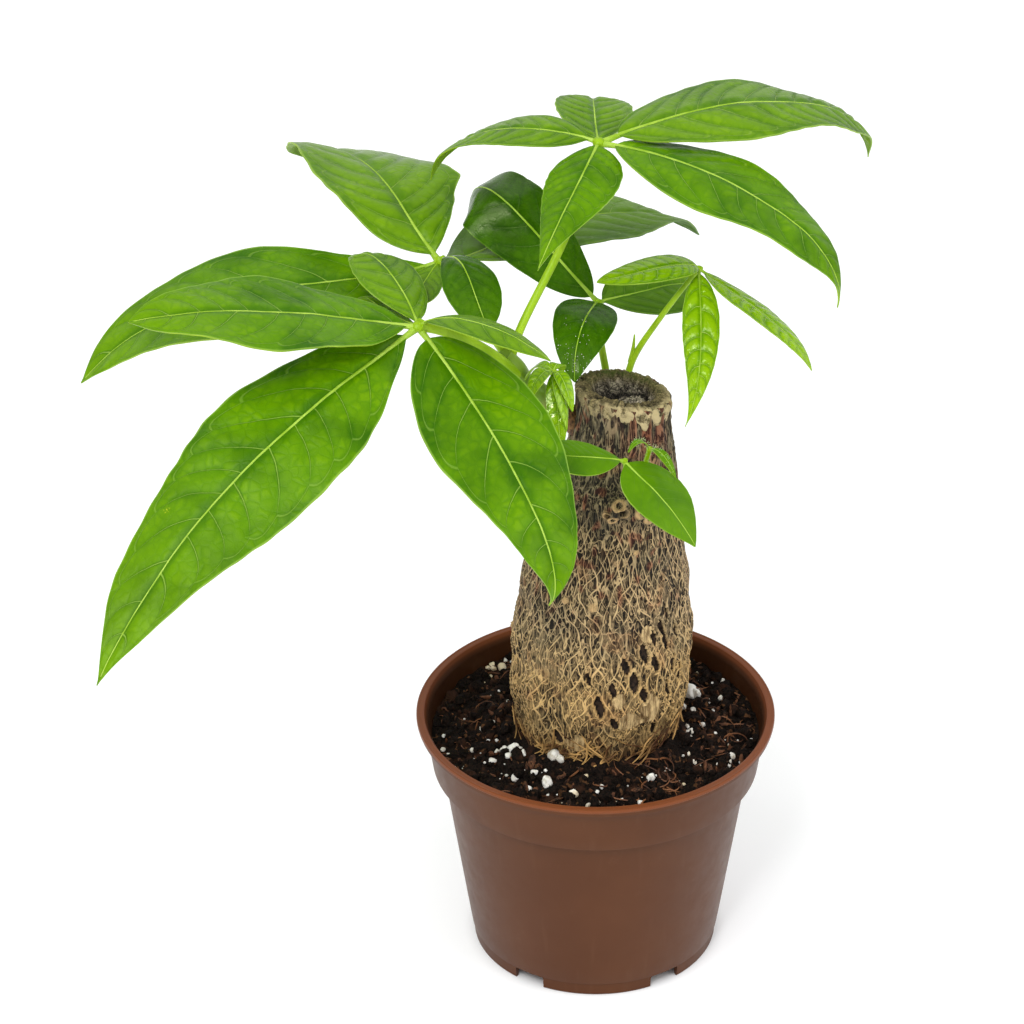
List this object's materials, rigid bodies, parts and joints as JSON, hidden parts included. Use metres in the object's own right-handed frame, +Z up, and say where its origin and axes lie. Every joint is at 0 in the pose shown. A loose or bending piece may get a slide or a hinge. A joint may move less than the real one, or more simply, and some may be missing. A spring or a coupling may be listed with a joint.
{
  "type": "potted money tree",
  "caption": "Potted money tree: a stout sawn-off trunk with palmate green leaves, in peat soil in a round brown plastic nursery pot.",
  "frame": {"origin": "middle of the underside of the pot, on the surface that the pot stands on", "axes": "+Z up along the pot's axis, +X to the viewer's right, -Y towards the viewer in the picture"},
  "size_m": [0.2572, 0.2126, 0.2882],
  "materials": {
    "pot_plastic": "satin",
    "peat_soil": "matte",
    "bark": "matte",
    "green_stem": "satin",
    "leaf_mid": "satin",
    "leaf_dark": "gloss",
    "leaf_lime": "gloss"
  },
  "bodies": {
    "root": {"pot": "pot_plastic", "soil": "peat_soil", "trunk": "bark", "shoot_left": "green_stem", "shoot_back": "green_stem", "leaf_front_left": "leaf_mid", "leaf_back_left": "leaf_mid", "leaf_top_right": "leaf_mid", "leaf_behind_trunk": "leaf_dark", "leaf_young_right": "leaf_lime", "leaf_cluster_new": "leaf_lime", "leaf_on_trunk": "leaf_mid", "sprout_hairy": "leaf_lime"}
  },
  "joints": []
}
